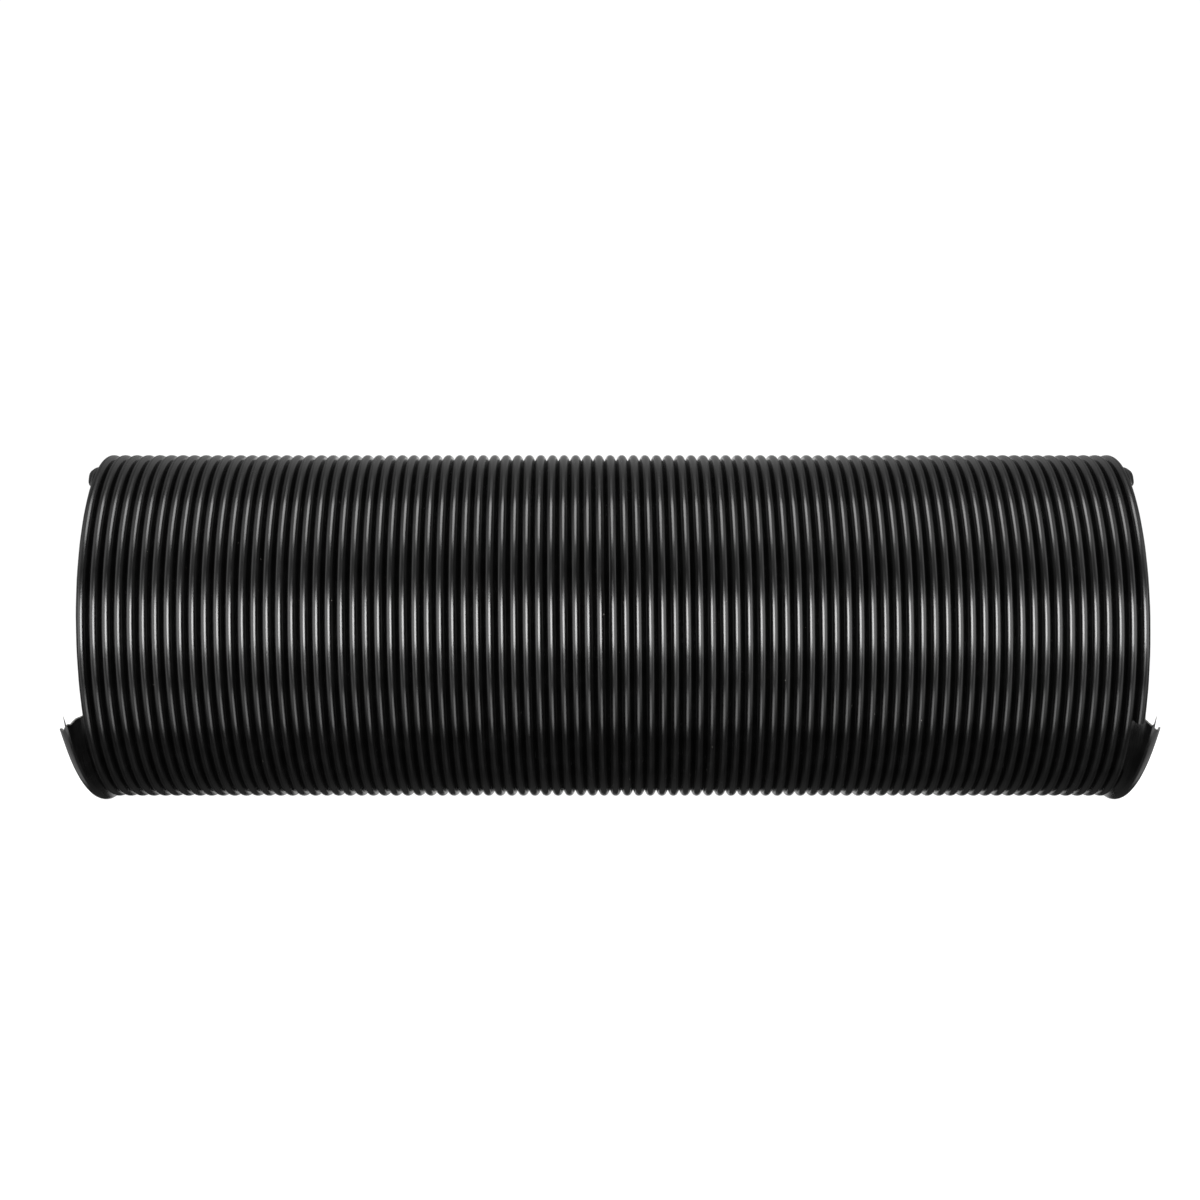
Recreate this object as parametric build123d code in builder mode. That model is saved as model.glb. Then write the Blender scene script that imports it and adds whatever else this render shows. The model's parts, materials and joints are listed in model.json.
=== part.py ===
"""Spiral-ribbed flexible vacuum hose, closed up to its shortest length and lying on its side.

The hose runs along X. Its wall is one strip wound in fine ribs, like a bellows, with no cuff at
either end. The wall is built here as short closed sections of ribbed tube, which slide apart when the
hose is pulled out and tip apart when it is bent. The winding's loose ends are pieces of their own:
a tail of rib that has sprung away at the bottom of each end, and a stub of rib left near the top.

The origin is at the middle of the hose, on the surface that it lies on. +X is to the right, +Y away
from the front, and +Z up.
"""

from build123d import *
import math
import os

os.makedirs("parts", exist_ok=True)

# Wall, in mm
OUTER_RADIUS = 40.0  # rib crests
BORE_RADIUS = 38.1  # inner folds, which slide over a 3 inch spigot
GROOVE_DEPTH = 1.4  # from a crest down to where two closed ribs meet
WALL = 0.45  # thickness of the strip
FLANK_ANGLE = 65.0  # slope of a rib's side, in degrees from the hose axis
FOLD_TOP_RADIUS = 39.5  # flat top of the hollow inside a rib

# Winding
PITCH = 2.7  # rib to rib, with the hose closed up
END_TURNS = 6  # turns in each end section, which sits on the spigot
SECTION_TURNS = 3  # turns in each section between the ends
FLEX_SECTIONS = 25  # sections between the ends
SECTION_GAP = 0.2  # clearance between neighbouring sections

LOOSE_FLANK_ANGLE = 53.0  # slope of the sides of a loose rib, which has opened a little

# Loose tail of rib at the bottom of each end
TAIL_FLARE = 0.8  # how far it stands out below the other ribs
TAIL_REACH = 0.5  # how far its crest stands out from the end where it joins the winding
TAIL_SPREAD = 2.05  # how much further out its tip has sprung
TAIL_TIP_ANGLE = 57.0  # its tip, in degrees round from straight down towards the front
TAIL_TIP_STEPS = 4  # profiles from the tip to straight down
TAIL_STEPS = 6  # profiles from the tip to the root
TAIL_JOIN_ANGLE = -30.0  # where it is back in line with the winding
TAIL_CURL = 1.9  # how sharply it springs away

# Stub of rib near the top of each end
STUB_REACH = 1.0  # how far its crest stands out from the end
STUB_DROP = 0.6  # how far its crest is below the other crests
STUB_START_ANGLE = 112.0  # degrees round from the back, over the top, to the front
STUB_ARC = 11.0  # degrees

# Worked out
GROOVE_RADIUS = OUTER_RADIUS - GROOVE_DEPTH
SLOPE = math.tan(math.radians(FLANK_ANGLE))
SECANT = 1 / math.cos(math.radians(FLANK_ANGLE))
APEX_RADIUS = GROOVE_RADIUS + PITCH / 2 * SLOPE  # where two flanks would meet if not rounded
CREST_ROUNDING = (APEX_RADIUS - OUTER_RADIUS) / (SECANT - 1)
FOLD_APEX_RADIUS = APEX_RADIUS - WALL * SECANT  # where the insides of two flanks would meet
FOLD_HALF_WIDTH = (FOLD_APEX_RADIUS - BORE_RADIUS) / SLOPE
FOLD_TOP_HALF_WIDTH = (FOLD_APEX_RADIUS - FOLD_TOP_RADIUS) / SLOPE
LOOSE_SLOPE = math.tan(math.radians(LOOSE_FLANK_ANGLE))
LOOSE_SECANT = 1 / math.cos(math.radians(LOOSE_FLANK_ANGLE))
TURNS = 2 * END_TURNS + FLEX_SECTIONS * SECTION_TURNS
HALF_LENGTH = TURNS * PITCH / 2
AXIS_HEIGHT = OUTER_RADIUS + TAIL_FLARE  # the tails touch the surface
TAIL_STEP_ANGLE = TAIL_TIP_ANGLE / TAIL_TIP_STEPS

CENTRE = (0, 0, AXIS_HEIGHT)
HOSE_AXIS = Axis(CENTRE, (1, 0, 0))
SIDES = {"left": -1, "right": 1}


def radial_plane(angle):
    """Plane through the hose axis: local x along the hose, local y outwards at the given angle.

    The angle is in degrees, from the back (0) over the top (90) to the front (180).
    """
    turn = math.radians(angle)
    return Plane(origin=CENTRE, x_dir=(1, 0, 0), z_dir=(0, -math.sin(turn), math.cos(turn)))


def write(builder, label):
    """Label a finished piece and write its STEP file."""
    builder.part.label = label
    export_step(builder.part, f"parts/{label}.step")
    print(f"{label}: {builder.part.volume:.1f} mm3")


def wall_section(label, first_turn, turns):
    """A closed length of ribbed wall, from one groove to another, given in turns from the left end."""
    left = first_turn * PITCH - HALF_LENGTH
    right = left + turns * PITCH
    trim = SECTION_GAP / 2
    crests = [left + (rib + 0.5) * PITCH for rib in range(turns)]
    outside = [(left + trim, GROOVE_RADIUS + trim * SLOPE), (crests[0], APEX_RADIUS)]
    for crest in crests[1:]:
        outside.append((crest - PITCH / 2, GROOVE_RADIUS))
        outside.append((crest, APEX_RADIUS))
    outside.append((right - trim, GROOVE_RADIUS + trim * SLOPE))
    inside = [(right - trim, BORE_RADIUS)]
    for crest in reversed(crests):
        inside.append((crest + FOLD_HALF_WIDTH, BORE_RADIUS))
        inside.append((crest + FOLD_TOP_HALF_WIDTH, FOLD_TOP_RADIUS))
        inside.append((crest - FOLD_TOP_HALF_WIDTH, FOLD_TOP_RADIUS))
        inside.append((crest - FOLD_HALF_WIDTH, BORE_RADIUS))
    inside.append((left + trim, BORE_RADIUS))
    with BuildPart() as section:
        with BuildSketch(radial_plane(90)) as profile:
            with BuildLine():
                Polyline(*outside, *inside, close=True)
            make_face()
            fillet(profile.vertices().filter_by(lambda v: v.Y > OUTER_RADIUS), CREST_ROUNDING)
        revolve(axis=HOSE_AXIS)
    write(section, label)


def rib_outline(reach, crest_radius):
    """Corners of a loose rib's bent strip, beside the left end. Its crest is reach outside the end."""
    end = -HALF_LENGTH - SECTION_GAP / 2
    crest = -HALF_LENGTH - reach
    lip = crest - PITCH / 3
    lip_radius = crest_radius - PITCH / 3 * LOOSE_SLOPE
    return [
        (end, GROOVE_RADIUS),
        (crest, crest_radius),
        (lip, lip_radius),
        (lip + WALL, lip_radius),
        (crest, crest_radius - WALL * LOOSE_SECANT),
        (end, BORE_RADIUS),
    ]


def tail(label, side):
    """The loose end of the winding: a rib that leaves the end and springs out towards its tip."""
    with BuildPart() as piece:
        for step in range(TAIL_STEPS + 1):
            from_bottom = TAIL_TIP_ANGLE - step * TAIL_STEP_ANGLE
            sprung = (from_bottom - TAIL_JOIN_ANGLE) / (TAIL_TIP_ANGLE - TAIL_JOIN_ANGLE)
            reach = TAIL_REACH + TAIL_SPREAD * sprung**TAIL_CURL
            with BuildSketch(radial_plane(270 - from_bottom)):
                with BuildLine():
                    Polyline(*rib_outline(reach, OUTER_RADIUS + TAIL_FLARE), close=True)
                make_face()
        loft()
        if side > 0:
            mirror(about=Plane.YZ, mode=Mode.REPLACE)
    write(piece, label)


def stub(label, side):
    """A short remnant of the next rib, left where the rest of it was cut away."""
    with BuildPart() as piece:
        with BuildSketch(radial_plane(STUB_START_ANGLE)):
            with BuildLine():
                Polyline(*rib_outline(STUB_REACH, OUTER_RADIUS - STUB_DROP), close=True)
            make_face()
        revolve(axis=HOSE_AXIS, revolution_arc=STUB_ARC)
        if side > 0:
            mirror(about=Plane.YZ, mode=Mode.REPLACE)
    write(piece, label)


wall_section("left_end_wall", 0, END_TURNS)
for number in range(FLEX_SECTIONS):
    wall_section(f"flex_wall_{number + 1:02d}", END_TURNS + number * SECTION_TURNS, SECTION_TURNS)
wall_section("right_end_wall", TURNS - END_TURNS, END_TURNS)
for name, side in SIDES.items():
    tail(f"{name}_tail", side)
    stub(f"{name}_stub", side)
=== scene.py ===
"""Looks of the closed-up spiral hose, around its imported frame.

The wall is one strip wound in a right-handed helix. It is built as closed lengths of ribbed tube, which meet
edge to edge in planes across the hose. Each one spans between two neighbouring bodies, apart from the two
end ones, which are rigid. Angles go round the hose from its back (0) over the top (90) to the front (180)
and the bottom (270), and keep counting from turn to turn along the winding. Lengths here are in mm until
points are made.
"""

import json
import math

import bpy
import numpy as np
from mathutils import Matrix, Vector

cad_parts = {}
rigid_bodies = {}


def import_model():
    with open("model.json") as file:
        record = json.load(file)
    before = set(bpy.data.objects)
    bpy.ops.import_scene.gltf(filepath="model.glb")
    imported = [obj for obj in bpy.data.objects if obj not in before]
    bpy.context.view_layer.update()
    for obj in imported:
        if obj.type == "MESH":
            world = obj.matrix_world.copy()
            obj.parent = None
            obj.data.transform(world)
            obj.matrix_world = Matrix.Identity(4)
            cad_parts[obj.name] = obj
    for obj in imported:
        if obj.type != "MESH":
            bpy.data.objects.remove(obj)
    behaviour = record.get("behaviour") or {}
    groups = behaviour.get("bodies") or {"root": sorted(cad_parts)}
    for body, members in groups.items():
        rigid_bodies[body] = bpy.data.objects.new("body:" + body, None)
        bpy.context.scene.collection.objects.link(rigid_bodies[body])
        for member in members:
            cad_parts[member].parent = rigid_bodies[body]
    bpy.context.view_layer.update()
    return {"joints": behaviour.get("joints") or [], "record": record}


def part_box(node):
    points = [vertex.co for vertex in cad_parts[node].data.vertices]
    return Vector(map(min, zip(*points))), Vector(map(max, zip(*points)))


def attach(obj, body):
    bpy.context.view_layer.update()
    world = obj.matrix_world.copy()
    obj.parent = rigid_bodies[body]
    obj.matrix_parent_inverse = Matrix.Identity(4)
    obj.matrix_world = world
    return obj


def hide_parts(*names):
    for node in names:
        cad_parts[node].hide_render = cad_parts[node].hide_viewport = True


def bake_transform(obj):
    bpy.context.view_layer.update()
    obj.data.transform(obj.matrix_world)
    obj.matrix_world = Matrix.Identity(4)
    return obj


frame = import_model()

MM = 0.001

# ---------------------------------------------------------------- sizes, from the frame
record = frame["record"]
joints = frame["joints"]
bodies = [joints[0]["parent"]] + [joint["child"] for joint in joints]
wall_nodes = [record["behaviour"]["bodies"][body][0] for body in bodies]
wall_boxes = [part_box(node) for node in wall_nodes]


def in_mm(metres):
    return round(metres / MM, 3)


TURNS_PER_SECTION = 3
gaps = [(in_mm(before[1].x), in_mm(after[0].x)) for before, after in zip(wall_boxes, wall_boxes[1:])]
GAP = gaps[0][1] - gaps[0][0]
PITCH = round((gaps[-1][0] - gaps[0][0]) / TURNS_PER_SECTION / (len(gaps) - 1), 4)
LEFT_END = in_mm(wall_boxes[0][0].x) - GAP / 2
RIGHT_END = in_mm(wall_boxes[-1][1].x) + GAP / 2
OUTER = in_mm(wall_boxes[0][1].z - wall_boxes[0][0].z) / 2
AXIS = in_mm(wall_boxes[0][1].z + wall_boxes[0][0].z) / 2
BORE = record["mounts"][0]["dims"]["r_mm"]
TURNS = round((RIGHT_END - LEFT_END) / PITCH)
SEAMS = [(gap[0] + gap[1] - TURNS_PER_SECTION * PITCH) / 2 for gap in gaps]
SEAMS.append(SEAMS[-1] + TURNS_PER_SECTION * PITCH)

# ---------------------------------------------------------------- section of the strip
FLANK_ANGLE = math.radians(65)
GROOVE_DEPTH = 1.4
WALL = 0.45
SLOPE = math.tan(FLANK_ANGLE)
SECANT = 1 / math.cos(FLANK_ANGLE)
HALF = PITCH / 2
APEX = OUTER - GROOVE_DEPTH + HALF * SLOPE
CREST_ROUNDING = (APEX - OUTER) / (SECANT - 1)
CREST_CENTRE = OUTER - CREST_ROUNDING
INNER_ROUNDING = CREST_ROUNDING - WALL
INNER_APEX = APEX - WALL * SECANT
FOLD_ROUNDING = (BORE + HALF * SLOPE - INNER_APEX) / (SECANT - 1)  # inner folds, at the bore

# ---------------------------------------------------------------- winding
COLUMNS = 120  # round the hose
STEP = 360 / COLUMNS
CREST_AT_BACK = LEFT_END - 0.75 * PITCH
TEAR_ANGLE = 213.0  # the tails' tips
ROOT_ANGLE = 330.0  # where the tails leave the winding
FREE_LIP = 1.1  # from an end rib's crest to its cut edge
CLOSE = 1e-6  # distances under this are nothing


def crest_x(angle):
    """Where along the hose the crest is, at an angle counted from the start of the winding."""
    return CREST_AT_BACK + PITCH * angle / 360


def outer_radius(d):
    """Radius of the outside at a distance d from a crest."""
    arc = CREST_CENTRE + np.sqrt(np.maximum(CREST_ROUNDING**2 - d**2, 0))
    return np.where(d <= CREST_ROUNDING * math.sin(FLANK_ANGLE), arc, APEX - d * SLOPE)


def inner_radius(d):
    """Radius of the inside at a distance d from a crest."""
    crest = CREST_CENTRE + np.sqrt(np.maximum(INNER_ROUNDING**2 - d**2, 0))
    fold = BORE + FOLD_ROUNDING - np.sqrt(np.maximum(FOLD_ROUNDING**2 - (HALF - d) ** 2, 0))
    flank = INNER_APEX - d * SLOPE
    inside = np.where(d <= INNER_ROUNDING * math.sin(FLANK_ANGLE), crest, flank)
    return np.where(d >= HALF - FOLD_ROUNDING * math.sin(FLANK_ANGLE), fold, inside)


def slope_of(radius, d):
    """How fast a radius changes with the distance from the crest."""
    small = 1e-4
    return (radius(d + small) - radius(d - small)) / (2 * small)


def profile_offsets():
    """Distances from the crest of the points of one rib, outside and inside, from groove to groove."""
    arc = [CREST_ROUNDING * math.sin(FLANK_ANGLE * share) for share in (1, 3 / 4, 1 / 2, 1 / 4, 0)]
    flank = (arc[0] + HALF) / 2
    outside = [HALF, flank] + arc
    fold = HALF - FOLD_ROUNDING * math.sin(FLANK_ANGLE)
    fold_middle = HALF - FOLD_ROUNDING * math.sin(FLANK_ANGLE / 2)
    inner_arc = INNER_ROUNDING * math.sin(FLANK_ANGLE)
    inside = [HALF, fold_middle, fold, (fold + inner_arc) / 2, inner_arc, inner_arc / 2, 0]
    both = []
    for half in (outside, inside):
        both.append(np.array([-d for d in half] + half[-2:0:-1]))
    return both


OUTSIDE, INSIDE = profile_offsets()
POINTS = len(OUTSIDE)


def place(x, radius, angle):
    """A point in metres, from its place along the hose, its radius and its angle in degrees."""
    turn = np.radians(angle)
    return np.stack([x, radius * np.cos(turn), AXIS + radius * np.sin(turn)], axis=-1) * MM


def surface_normal(slope, angle, side):
    """Unit normals of the outside (side 1) or the inside (side -1), from dR/dx."""
    turn = np.radians(angle)
    lean = slope * PITCH / (2 * math.pi * OUTER)
    normal = np.stack(
        [
            -slope,
            np.cos(turn) - lean * np.sin(turn),
            np.sin(turn) + lean * np.cos(turn),
        ],
        axis=-1,
    )
    return side * normal / np.linalg.norm(normal, axis=-1, keepdims=True)


# ---------------------------------------------------------------- meshes
SHARP_ANGLE = math.radians(50)  # edges sharper than this are shaded as edges


def make_piece(name, points, faces, normals=None, cut_faces=()):
    """A mesh object. normals holds one list of normals for each face, or nothing for smooth by angle."""
    used = sorted({i for face in faces for i in face})
    renumber = {old: new for new, old in enumerate(used)}
    mesh = bpy.data.meshes.new(name)
    mesh.from_pydata(points[used], [], [[renumber[i] for i in face] for face in faces])
    mesh.update()
    for polygon in mesh.polygons:
        polygon.use_smooth = True
    for index in cut_faces:
        mesh.polygons[index].material_index = 1
    if normals is None:
        mesh.set_sharp_from_angle(angle=SHARP_ANGLE)
    else:
        mesh.normals_split_custom_set([n for face in normals for n in face])
    rest = mesh.attributes.new("rest", "FLOAT_VECTOR", "POINT")
    from_axis = (points[used] / MM - np.array([0, 0, AXIS])).astype(np.float32)
    rest.data.foreach_set("vector", from_axis.ravel())
    for material in MATERIALS:
        mesh.materials.append(material)
    piece = bpy.data.objects.new(name, mesh)
    bpy.context.scene.collection.objects.link(piece)
    return piece


def around(angle):
    """Unit vector the way the angle grows."""
    turn = math.radians(angle)
    return (0.0, -math.sin(turn), math.cos(turn))


def reversed_vector(vector):
    return tuple(-part for part in vector)


def ribbed_wall(name, first_angle, first_rib, ribs, low_edge, high_edge, low_free=False, high_free=False):
    """A closed length of ribbed wall. low_edge and high_edge give its two ends along the hose at an angle.

    A free end follows the winding, so the strip has a step there; any other end is a plane. The grid of
    points is a row for each angle, of a few points for each rib. Those beyond an end are moved to it, and
    given the number of the one point that is kept there.
    """
    angles = first_angle + STEP * np.arange(COLUMNS + 1)
    low, high = low_edge(angles)[:, None], high_edge(angles)[:, None]
    last = ribs * POINTS
    rib_angles = 360 * (first_rib + np.append(np.repeat(np.arange(ribs), POINTS), ribs - 1))
    crest = crest_x(angles[:, None] + rib_angles)
    points, numbers, faces, normals, cut_faces = [], [], [], [], []
    for side, offsets, radius in ((1, OUTSIDE, outer_radius), (-1, INSIDE, inner_radius)):
        free_x = crest + np.append(np.tile(offsets, ribs), HALF)
        x = np.clip(free_x, low, high)
        from_crest = (x - crest + HALF) % PITCH - HALF
        number = len(numbers) * x.size + np.arange(x.size).reshape(x.shape)
        for column in range(COLUMNS + 1):
            first = np.count_nonzero(free_x[column] <= low[column] + CLOSE) - 1
            number[column, : max(first, 0)] = number[column, max(first, 0)]
            beyond = last + 1 - np.count_nonzero(free_x[column] >= high[column] - CLOSE)
            number[column, beyond + 1 :] = number[column, min(beyond, last)]
        # A full turn on, the winding has moved by one rib, so the last row is the first one, shifted.
        number[COLUMNS, : last + 1 - POINTS] = number[0, POINTS:]
        if not high_free:
            number[COLUMNS, last + 1 - POINTS :] = number[0, last]
        points.append(place(x, radius(np.abs(from_crest)), angles[:, None]).reshape(-1, 3))
        numbers.append(number.tolist())

        starts, ends = np.tile(offsets, ribs), np.tile(np.append(offsets[1:], HALF), ribs)
        shaded = []
        for ends_x in (x[:, :-1], x[:, 1:]):
            d = np.clip(ends_x - crest[:, :-1], starts + CLOSE, ends - CLOSE)
            slopes = np.sign(starts + ends) * slope_of(radius, np.abs(d))
            shaded.append(surface_normal(slopes, angles[:, None], side).tolist())
        near, far = shaded
        table = numbers[-1]
        for k in range(COLUMNS):
            for m in range(last):
                corners = [table[k][m], table[k + 1][m], table[k + 1][m + 1], table[k][m + 1]]
                shading = [near[k][m], near[k + 1][m], far[k + 1][m], far[k][m]]
                add_face(faces, normals, corners[::side], shading[::side])

    out, inn = numbers

    def add_cut(corners, facing, shows):
        if add_face(faces, normals, corners, [facing] * 4) and shows:
            cut_faces.append(len(faces) - 1)

    for k in range(COLUMNS):
        add_cut([out[k][0], inn[k][0], inn[k + 1][0], out[k + 1][0]], (-1, 0, 0), low_free)
        add_cut([out[k][last], out[k + 1][last], inn[k + 1][last], inn[k][last]], (1, 0, 0), high_free)
    if low_free:
        facing = reversed_vector(around(first_angle))
        for m in range(POINTS):
            add_cut([out[0][m], out[0][m + 1], inn[0][m + 1], inn[0][m]], facing, True)
    if high_free:
        facing = around(first_angle)
        for m in range(last - POINTS, last):
            add_cut([out[-1][m], inn[-1][m], inn[-1][m + 1], out[-1][m + 1]], facing, True)
    return make_piece(name, np.concatenate(points), faces, normals, cut_faces)


def add_face(faces, normals, corners, shading):
    """Add a face of four corners, some of which may be the same point. False if nothing is left of it."""
    kept = [c for c in range(4) if corners[c] != corners[c - 1]]
    if len({corners[c] for c in kept}) < 3 or len({corners[c] for c in kept}) < len(kept):
        return False
    faces.append([corners[c] for c in kept])
    normals.append([shading[c] for c in kept])
    return True


def strip_piece(name, sections, extra=None, cut=True):
    """A closed strip from its sections, each a ring of points.

    The first half of a ring is the strip's outside and the second half, backwards, its inside. With cut,
    its two ends and its free edge show the cut material. extra is more points and faces to join to it.
    """
    rings, size = len(sections), len(sections[0])
    points = np.concatenate(sections)
    faces, cut_faces = [], []
    for k in range(rings - 1):
        for m in range(size):
            after = (m + 1) % size
            faces.append([k * size + m, (k + 1) * size + m, (k + 1) * size + after, k * size + after])
            if m == size // 2 - 1:
                cut_faces.append(len(faces) - 1)
    for first, flip in ((0, 1), ((rings - 1) * size, -1)):
        for m in range(size // 2 - 1):
            inner = size - 1 - m
            cap = [first + m, first + m + 1, first + inner - 1, first + inner]
            cut_faces.append(len(faces))
            faces.append(cap[::flip])
    if extra is not None:
        extra_points, extra_faces = extra
        faces += [[i + len(points) for i in face] for face in extra_faces]
        points = np.concatenate([points, extra_points])
    return make_piece(name, points, faces, None, cut_faces if cut else ())


def smooth_step(value):
    share = np.clip(value, 0, 1)
    return share * share * (3 - 2 * share)


# ---------------------------------------------------------------- materials
def nodes_of(name):
    material = bpy.data.materials.new(name)
    material.use_nodes = True
    tree = material.node_tree
    return material, tree, tree.nodes["Principled BSDF"]


def math_node(tree, operation, first, second=None, third=None):
    """The output of a math node, whose inputs are numbers or sockets."""
    node = tree.nodes.new("ShaderNodeMath")
    node.operation = operation
    for socket, value in zip(node.inputs, (first, second, third)):
        if isinstance(value, bpy.types.NodeSocket):
            tree.links.new(value, socket)
        elif value is not None:
            socket.default_value = value
    return node.outputs[0]


def rest_point(tree, across=1.0, along=1.0):
    """The rest position in mm, scaled across the winding (along the hose) and along the winding."""
    rest = tree.nodes.new("ShaderNodeAttribute")
    rest.attribute_name = "rest"
    scaled = tree.nodes.new("ShaderNodeVectorMath")
    scaled.operation = "MULTIPLY"
    scaled.inputs[1].default_value = (across, along, along)
    tree.links.new(rest.outputs["Vector"], scaled.inputs[0])
    return scaled.outputs[0]


def noise(tree, vector, scale, detail=2.0, roughness=0.5):
    node = tree.nodes.new("ShaderNodeTexNoise")
    node.inputs["Scale"].default_value = scale
    node.inputs["Detail"].default_value = detail
    node.inputs["Roughness"].default_value = roughness
    tree.links.new(vector, node.inputs["Vector"])
    return node.outputs["Fac"]


def ranged(tree, value, low, high, to_low, to_high):
    """The value moved from the range low to high into the range to_low to to_high."""
    node = tree.nodes.new("ShaderNodeMapRange")
    node.inputs["From Min"].default_value = low
    node.inputs["From Max"].default_value = high
    node.inputs["To Min"].default_value = to_low
    node.inputs["To Max"].default_value = to_high
    tree.links.new(value, node.inputs["Value"])
    return node.outputs["Result"]


def mixed(tree, share, first, second):
    """A mix of two colours, each given as three numbers or as a socket."""
    node = tree.nodes.new("ShaderNodeMix")
    node.data_type = "RGBA"
    for socket, value in ((node.inputs[6], first), (node.inputs[7], second)):
        if isinstance(value, bpy.types.NodeSocket):
            tree.links.new(value, socket)
        else:
            socket.default_value = (*value, 1)
    tree.links.new(share, node.inputs[0])
    return node.outputs[2]


def glossy_plastic():
    """Black extruded plastic: drawn lines along the strip, faint mottling, and a few specks of dust."""
    material, tree, shader = nodes_of("black_wound_plastic")
    drawn = noise(tree, rest_point(tree, 9.0, 0.06), 1.0, 3.0)
    mottle = noise(tree, rest_point(tree), 0.22, 3.0)
    grain = noise(tree, rest_point(tree), 7.0, 2.0)
    tint = math_node(tree, "MULTIPLY", drawn, mottle)
    darkest, lightest = (0.0002,) * 3, (0.0011,) * 3
    black = mixed(tree, ranged(tree, tint, 0.12, 0.42, 0.0, 1.0), darkest, lightest)

    dust_radius, dust_threshold, dust_colour = 0.035, 0.66, (0.14, 0.13, 0.12)
    dust = tree.nodes.new("ShaderNodeTexVoronoi")
    dust.inputs["Scale"].default_value = 0.42
    tree.links.new(rest_point(tree), dust.inputs["Vector"])
    near = math_node(tree, "LESS_THAN", dust.outputs["Distance"], dust_radius)
    chosen = math_node(tree, "GREATER_THAN", noise(tree, rest_point(tree), 0.9, 0.0), dust_threshold)
    speck = math_node(tree, "MULTIPLY", near, chosen)
    colour = mixed(tree, speck, black, dust_colour)
    tree.links.new(colour, shader.inputs["Base Color"])

    drawn_rough = ranged(tree, drawn, 0.3, 0.7, 0.17, 0.24)
    rough = math_node(tree, "ADD", drawn_rough, ranged(tree, mottle, 0.3, 0.7, 0.0, 0.05))
    tree.links.new(math_node(tree, "MAXIMUM", rough, speck), shader.inputs["Roughness"])
    shader.inputs["Specular IOR Level"].default_value = 0.5
    height = math_node(tree, "MULTIPLY_ADD", drawn, 0.7, math_node(tree, "MULTIPLY", grain, 0.3))
    bump = tree.nodes.new("ShaderNodeBump")
    bump.inputs["Strength"].default_value = 0.25
    bump.inputs["Distance"].default_value = 0.02 * MM
    tree.links.new(height, bump.inputs["Height"])
    tree.links.new(bump.outputs["Normal"], shader.inputs["Normal"])
    return material


def cut_plastic():
    """Where the strip was cut or torn: matt, paler and ragged."""
    material, tree, shader = nodes_of("cut_edge_plastic")
    ragged = noise(tree, rest_point(tree), 3.2, 4.0, 0.65)
    paleness = ranged(tree, ragged, 0.35, 0.7, 0.0, 1.0)
    darkest, palest = (0.012,) * 3, (0.14, 0.138, 0.13)
    colour = mixed(tree, paleness, darkest, palest)
    tree.links.new(colour, shader.inputs["Base Color"])
    tree.links.new(ranged(tree, ragged, 0.3, 0.7, 0.45, 0.7), shader.inputs["Roughness"])
    bump = tree.nodes.new("ShaderNodeBump")
    bump.inputs["Strength"].default_value = 0.6
    bump.inputs["Distance"].default_value = 0.08 * MM
    tree.links.new(ragged, bump.inputs["Height"])
    tree.links.new(bump.outputs["Normal"], shader.inputs["Normal"])
    return material


MATERIALS = [glossy_plastic(), cut_plastic()]


# ---------------------------------------------------------------- wall
LIP_WAVES = ((0.05, 7, 0), (0.03, 31, 40))  # unevenness of a cut edge: mm, waves a turn, degrees of shift


def plane_at(x):
    return lambda angles: np.full(len(angles), x)


def lip_of(angles):
    """How far the strip reaches beyond its end crest: to the groove where the tail hangs on it."""
    turned = angles % 360
    held = (turned >= TEAR_ANGLE) & (turned <= ROOT_ANGLE)
    ragged = sum(height * np.sin(np.radians(waves * angles + shift)) for height, waves, shift in LIP_WAVES)
    return np.where(held, HALF, FREE_LIP + ragged)


RIBS_SEEN = TURNS_PER_SECTION + 1  # ribs between two seams, some of them cut by the seams
SEAM_COLUMN = 270  # a groove crosses a seam plane at this angle
for index in range(len(joints)):
    piece = ribbed_wall(
        f"wound_wall_{index + 1:02d}",
        SEAM_COLUMN,
        RIBS_SEEN + TURNS_PER_SECTION * index,
        RIBS_SEEN,
        plane_at(SEAMS[index]),
        plane_at(SEAMS[index + 1]),
    )
    if index < len(joints) - 1:
        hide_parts(wall_nodes[index + 1])
    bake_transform(piece)

END_RIBS = 5  # ribs between each end and the seam nearest to it
LAST_RIB = TURNS - 1
left_turns = ribbed_wall(
    "left_end_turns",
    ROOT_ANGLE,
    0,
    END_RIBS,
    lambda angles: crest_x(angles) - lip_of(angles),
    plane_at(SEAMS[0]),
    low_free=True,
)
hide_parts(wall_nodes[0])
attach(left_turns, bodies[0])
right_turns = ribbed_wall(
    "right_end_turns",
    TEAR_ANGLE,
    LAST_RIB - END_RIBS + 1,
    END_RIBS,
    plane_at(SEAMS[-1]),
    lambda angles: crest_x(angles + 360 * LAST_RIB) + lip_of(angles),
    high_free=True,
)
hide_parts(wall_nodes[-1])
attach(right_turns, bodies[-1])

# ---------------------------------------------------------------- loose tails
TAIL_RIB = {-1: 0, 1: TURNS}  # the rib that each tail is
TAIL_REACH = {-1: 2.35, 1: 3.15}  # how far out the tip has sprung
TAIL_FLARE = 0.8  # how far it stands out below the other ribs
TAIL_FLARE_ARC = 50.0  # degrees from its root over which it comes out that far
TAIL_LOOSE_ANGLE = 300.0  # where it starts to spring out
TAIL_CURL = 1.9  # how sharply it springs away
TAIL_OPENING = 0.3  # how much wider the rib is at its tip
TAIL_BULGE = 0.15  # share of the flare that comes in gradually, from the groove out across the rib
TIP_LIP = 1.05  # from the rib's crest to its free edge, at the tip
TEAR_LENGTH = 12.0  # degrees from the tip over which the tear's shape fades out
WEB_TEAR = -1.5  # degrees that the tear runs on along the groove
RIDGE_TEAR = 1.6  # degrees that it cuts back into the rib
RIDGE_START, RIDGE_WIDTH = 0.8, 0.4  # where across the rib that starts, from groove (0) to crest (1)
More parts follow.
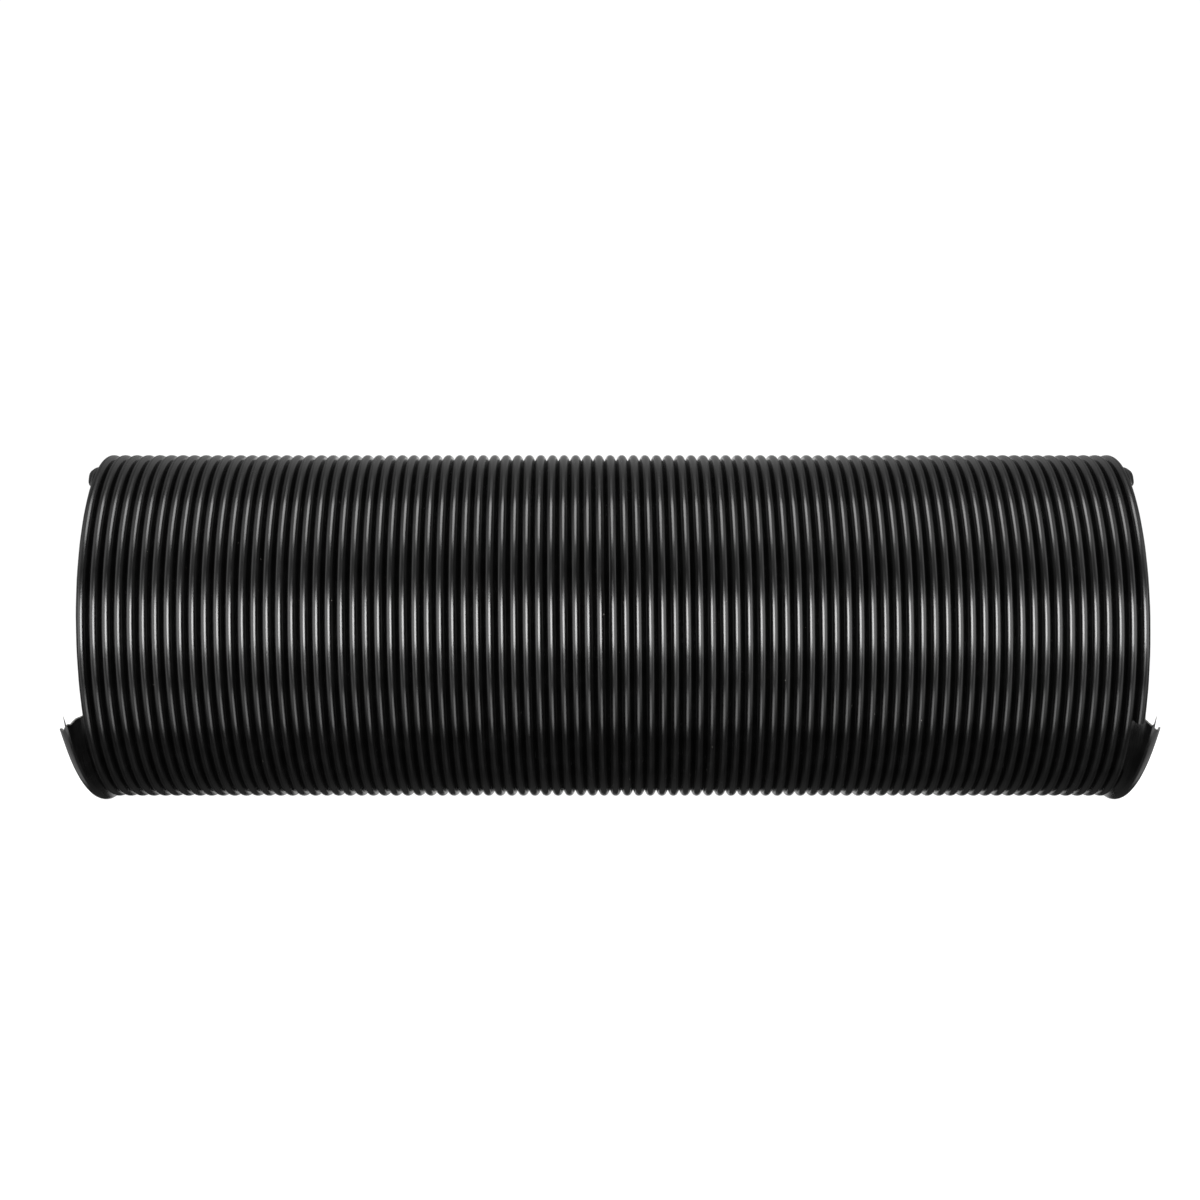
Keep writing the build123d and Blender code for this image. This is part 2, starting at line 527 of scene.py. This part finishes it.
TEAR_WAVES = ((0.25, 9, 1.3), (0.15, 23, 0.0))  # its jags: degrees, radians a mm, shift at the two ends


def tail_section(side, angle):
    """One section of a tail: a thin web from the groove out to a round rib, as a ring of points."""
    loose = max(TAIL_LOOSE_ANGLE - angle, 0) / (TAIL_LOOSE_ANGLE - TEAR_ANGLE)
    reach = TAIL_REACH[side] * loose**TAIL_CURL
    flare = TAIL_FLARE * float(smooth_step((ROOT_ANGLE - angle) / TAIL_FLARE_ARC))
    lip = FREE_LIP + (TIP_LIP - FREE_LIP) * loose
    arc = CREST_ROUNDING * math.sin(FLANK_ANGLE)
    offset = np.array([*np.linspace(-HALF, -arc, 5), *np.linspace(-arc, arc, 7)[1:], lip])
    spread = (offset + HALF) / HALF
    freed = np.clip((offset + HALF) / (HALF - arc), 0, 1)
    out = offset * (1 + TAIL_OPENING * loose * freed) + reach * freed
    lift = (1 - TAIL_BULGE) * freed + TAIL_BULGE * smooth_step(spread)
    radius = outer_radius(np.abs(offset)) + flare * lift
    out_step, radius_step = np.gradient(out), np.gradient(radius)
    step = np.hypot(out_step, radius_step)
    inner_out, inner = out + WALL * radius_step / step, radius - WALL * out_step / step
    inner_out[0], inner[0] = out[0], BORE
    tear = max(1 - (angle - TEAR_ANGLE) / TEAR_LENGTH, 0) ** 2
    torn = WEB_TEAR * np.sqrt(1 - freed**2) + RIDGE_TEAR * smooth_step((spread - RIDGE_START) / RIDGE_WIDTH)
    for height, waves, shift in TEAR_WAVES:
        torn = torn + height * np.sin(waves * offset + shift * side)
    crest = crest_x(angle + 360 * TAIL_RIB[side])
    outside = place(crest + side * out, radius, angle + tear * torn)
    inside = place(crest + side * inner_out, inner, angle + tear * torn)
    return np.concatenate([outside, inside[::-1]])


WHISKER_ANGLES = (TEAR_ANGLE + 2.8, TEAR_ANGLE - 4.1)  # from its root in the rib to its point
WHISKER_SET_BACK = 0.3  # how far inside the tail's crest it starts
WHISKER_DRIFT = 0.2  # how far out it leans along the hose
WHISKER_RISE = (0.5, 0.9)  # how far it is above the other ribs, at its root and at its point
WHISKER_THICK = (0.255, 0.015)  # half its width, at its root and at its point
WHISKER_FLATNESS = 0.6  # how far it reaches in Y and in Z, as a share of how far it reaches along the hose


def whisker(side):
    """A thin burr of torn plastic that runs on from the tail's tip."""
    steps, around_it = 9, 6
    points, faces = [], []
    crest = crest_x(TEAR_ANGLE + 360 * TAIL_RIB[side]) + side * (TAIL_REACH[side] - WHISKER_SET_BACK)
    for step in range(steps):
        share = step / (steps - 1)
        angle = WHISKER_ANGLES[0] + (WHISKER_ANGLES[1] - WHISKER_ANGLES[0]) * share
        rise = WHISKER_RISE[0] + (WHISKER_RISE[1] - WHISKER_RISE[0]) * share**2
        centre = place(crest + side * WHISKER_DRIFT * share**1.5, OUTER + rise, angle)
        thick = (WHISKER_THICK[0] - WHISKER_THICK[1]) * (1 - share) ** 0.8 + WHISKER_THICK[1]
        for corner in range(around_it):
            turn = 2 * math.pi * corner / around_it
            squashed = WHISKER_FLATNESS * math.sin(turn)
            points.append(centre + np.array([math.cos(turn), squashed, -squashed]) * thick * MM)
    for step in range(steps - 1):
        for corner in range(around_it):
            after = (corner + 1) % around_it
            a, b = step * around_it, (step + 1) * around_it
            faces.append([a + corner, a + after, b + after, b + corner])
    faces.append(list(range(around_it))[::-1])
    faces.append([(steps - 1) * around_it + corner for corner in range(around_it)])
    return np.array(points), faces


tails = []
for side, name, body in ((-1, "left", bodies[0]), (1, "right", bodies[-1])):
    tail_angles = np.arange(TEAR_ANGLE, ROOT_ANGLE + STEP / 2, STEP / 2)
    sections = [tail_section(side, angle) for angle in tail_angles]
    if side < 0:
        sections = sections[::-1]
    tail = strip_piece(f"{name}_loose_tail", sections, whisker(side))
    tails.append(tail)
    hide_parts(f"{name}_tail")
    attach(tail, body)

# ---------------------------------------------------------------- stubs
STUB_ANGLES = (110.5, 126.0)
STUB_SECTIONS = 15
STUB_REACH = 1.35  # how far it stands out from the end rib's cut edge
STUB_ROOT_RADIUS = 38.75
STUB_TOP_RADIUS = 39.35
STUB_THICK = 0.42
STUB_INNER_REACH = 0.72  # how far out its inside goes, as a share of its outside
STUB_OVERLAP = 0.15  # how far its root is inside the cut edge
STUB_FULLNESS = (2.2, 0.7)  # powers that shape how it swells from one end and thins to the other
STUB_FOLD = (-0.35, 0.62)  # where its outside starts and ends round the fold, in half turns from the top
STUB_UNEVEN = 0.1  # how much its reach varies


def stub_section(side, angle, end_crest):
    """One section of a stub: a low rounded fold of strip that thins to nothing at both of its ends."""
    middle, half_arc = sum(STUB_ANGLES) / 2, (STUB_ANGLES[1] - STUB_ANGLES[0]) / 2
    fullness = max(1 - abs((angle - middle) / half_arc) ** STUB_FULLNESS[0], 0.0) ** STUB_FULLNESS[1]
    root = end_crest + side * (FREE_LIP - STUB_OVERLAP)
    reach = STUB_OVERLAP + (STUB_REACH + STUB_UNEVEN * math.sin(5 * angle)) * fullness
    turns = np.linspace(*STUB_FOLD, 7) * math.pi
    outside_x = np.concatenate([[0.0], 0.5 + 0.5 * np.sin(turns)])
    rise = (STUB_TOP_RADIUS - STUB_ROOT_RADIUS) * fullness
    outside_r = STUB_ROOT_RADIUS + rise * np.concatenate([[0.0], np.cos(turns)])
    inside_x = outside_x * STUB_INNER_REACH
    inside_r = outside_r - STUB_THICK
    ring = []
    for share, radius in ((outside_x, outside_r), (inside_x[::-1], inside_r[::-1])):
        ring.append(place(root + side * reach * share, radius, angle))
    return np.concatenate(ring)


for side, name, body, rib in ((-1, "left", bodies[0], 1), (1, "right", bodies[-1], TURNS)):
    stub_angles = np.linspace(*STUB_ANGLES, STUB_SECTIONS)
    sections = [stub_section(side, angle, crest_x(angle + 360 * rib)) for angle in stub_angles]
    if side < 0:
        sections = sections[::-1]
    stub = strip_piece(f"{name}_rib_stub", sections, cut=False)
    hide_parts(f"{name}_stub")
    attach(stub, body)

# ---------------------------------------------------------------- camera
CAMERA_DISTANCE = 0.532
CAMERA_LENS = 67.8
CAMERA_SENSOR = 36
CAMERA_SHIFT = (-0.0084, 0.0212)  # the photo's hose is a little below the middle and to the right
camera_data = bpy.data.cameras.new("camera")
camera_data.lens = CAMERA_LENS
camera_data.sensor_width = CAMERA_SENSOR
camera_data.shift_x, camera_data.shift_y = CAMERA_SHIFT
camera = bpy.data.objects.new("camera", camera_data)
camera.location = (0, -CAMERA_DISTANCE, AXIS * MM)
camera.rotation_euler = (math.radians(90), 0, 0)
bpy.context.scene.collection.objects.link(camera)
bpy.context.scene.camera = camera

# ---------------------------------------------------------------- studio
AIM = Vector((0, 0, AXIS * MM))


def panel(name, elevation, aside, distance, width, height, brightness):
    """A soft light panel that faces the hose. Elevation 0 is behind the camera, 90 is overhead."""
    light = bpy.data.lights.new(name, "AREA")
    light.shape = "RECTANGLE"
    light.size, light.size_y = width, height
    light.energy = brightness * math.pi * width * height
    lamp = bpy.data.objects.new(name, light)
    up, over = math.radians(elevation), math.radians(aside)
    way = Vector((math.sin(over), -math.cos(over) * math.cos(up), math.cos(over) * math.sin(up)))
    along = Vector((math.cos(over), math.sin(over) * math.cos(up), -math.sin(over) * math.sin(up)))
    lamp.matrix_world = Matrix((along, way.cross(along), way)).transposed().to_4x4()
    lamp.location = AIM + way * distance
    lamp.visible_camera = False
    bpy.context.scene.collection.objects.link(lamp)
    return lamp


# Each bank of lights is a middle panel with a wing on each side. Most wings are dimmer than their middle
# panel and light only their own half of the hose, because the photo's ribs have a grey shoulder on the side
# away from the middle, in both halves.
# name, elevation, distance, height, brightness of the middle panel, brightness of the wings
BANKS = (
    ("front", 1, 0.75, 0.4, 17.0, 2.5),
    ("front_edge", -3, 0.8, 0.9, 1.5, 0.05),
    ("overhead", 72.5, 0.6, 0.36, 6.0, 0.75),
    ("overhead_edge", 78, 0.7, 0.95, 0.7, 0.12),
    ("low", -56, 0.6, 0.28, 3.2, 0.6),
    ("low_edge", -80, 0.7, 0.8, 0.1, 0.05),
    ("under", -122, 0.8, 0.9, 0.05, 0.01),
    ("fill", 5, 1.0, 2.2, 0.14, 0.3),
    ("back", 142, 0.8, 0.95, 0.36, 0.18),
)
SHARED_WINGS = ("overhead_edge", "back")  # these light the whole hose, so that no step shows from behind
MIDDLE_HALF_ANGLE, WING_EDGE_ANGLE = 17, 76  # how far the middle panels and the wings go to the side
for side, half_name in ((-1, "left"), (1, "right")):
    half = bpy.data.collections.new(f"{half_name}_half")
    for piece in bpy.context.scene.collection.objects:
        if piece.type == "MESH" and side * sum(vertex.co.x for vertex in piece.data.vertices) > 0:
            half.objects.link(piece)
    for name, elevation, distance, height, _, brightness in BANKS:
        wing_half = (WING_EDGE_ANGLE - MIDDLE_HALF_ANGLE) / 2
        width = 2 * distance * math.tan(math.radians(wing_half))
        aside = side * (MIDDLE_HALF_ANGLE + wing_half)
        wing = panel(f"{name}_{half_name}_wing", elevation, aside, distance, width, height, brightness)
        if name not in SHARED_WINGS:
            wing.light_linking.receiver_collection = half
for name, elevation, distance, height, brightness, _ in BANKS:
    width = 2 * distance * math.tan(math.radians(MIDDLE_HALF_ANGLE))
    panel(f"{name}_panel", elevation, 0, distance, width, height, brightness)

behind = {"elevation": 182, "aside": 0, "distance": 1.5, "width": 3.5, "height": 0.85, "brightness": 0.75}
panel("behind_panel", **behind)

# The tails face out and down, away from all of these, so each has a panel of its own, below it at its side.
beside = {"elevation": -90, "distance": 0.6, "width": 0.8, "height": 0.8, "brightness": 0.9}
SIDE_PANEL_ASIDE = 50
for side, half_name, tail in ((-1, "left", tails[0]), (1, "right", tails[1])):
    alone = bpy.data.collections.new(f"{half_name}_tail_alone")
    alone.objects.link(tail)
    side_panel = panel(f"{half_name}_side_panel", aside=side * SIDE_PANEL_ASIDE, **beside)
    side_panel.light_linking.receiver_collection = alone

# ---------------------------------------------------------------- world and floor
WORLD_SEEN = 1.05  # what the camera sees behind the hose
WORLD_LIGHT = 0.03  # what lights the hose
FLOOR_HALF = 6.0
FLOOR_GREY = 0.3

world = bpy.data.worlds.new("studio")
world.use_nodes = True
tree = world.node_tree
tree.nodes.clear()
seen = tree.nodes.new("ShaderNodeBackground")
seen.inputs["Color"].default_value = (1, 1, 1, 1)
seen.inputs["Strength"].default_value = WORLD_SEEN
lit = tree.nodes.new("ShaderNodeBackground")
lit.inputs["Color"].default_value = (1, 1, 1, 1)
lit.inputs["Strength"].default_value = WORLD_LIGHT
path = tree.nodes.new("ShaderNodeLightPath")
mix = tree.nodes.new("ShaderNodeMixShader")
output = tree.nodes.new("ShaderNodeOutputWorld")
tree.links.new(path.outputs["Is Camera Ray"], mix.inputs[0])
tree.links.new(lit.outputs[0], mix.inputs[1])
tree.links.new(seen.outputs[0], mix.inputs[2])
tree.links.new(mix.outputs[0], output.inputs["Surface"])
bpy.context.scene.world = world
bpy.context.scene.view_settings.view_transform = "Standard"

floor_corners = [(x * FLOOR_HALF, y * FLOOR_HALF, 0) for x, y in ((-1, -1), (1, -1), (1, 1), (-1, 1))]
floor_mesh = bpy.data.meshes.new("floor")
floor_mesh.from_pydata(floor_corners, [], [(0, 1, 2, 3)])
floor_material, _, floor_shader = nodes_of("white_floor")
floor_shader.inputs["Base Color"].default_value = (FLOOR_GREY, FLOOR_GREY, FLOOR_GREY, 1)
floor_shader.inputs["Emission Color"].default_value = (1, 1, 1, 1)
floor_shader.inputs["Emission Strength"].default_value = 1.0
floor_shader.inputs["Roughness"].default_value = 0.9
floor_shader.inputs["Specular IOR Level"].default_value = 0.0
floor_mesh.materials.append(floor_material)
floor = bpy.data.objects.new("floor", floor_mesh)
floor.visible_glossy = False
floor.visible_shadow = False
bpy.context.scene.collection.objects.link(floor)
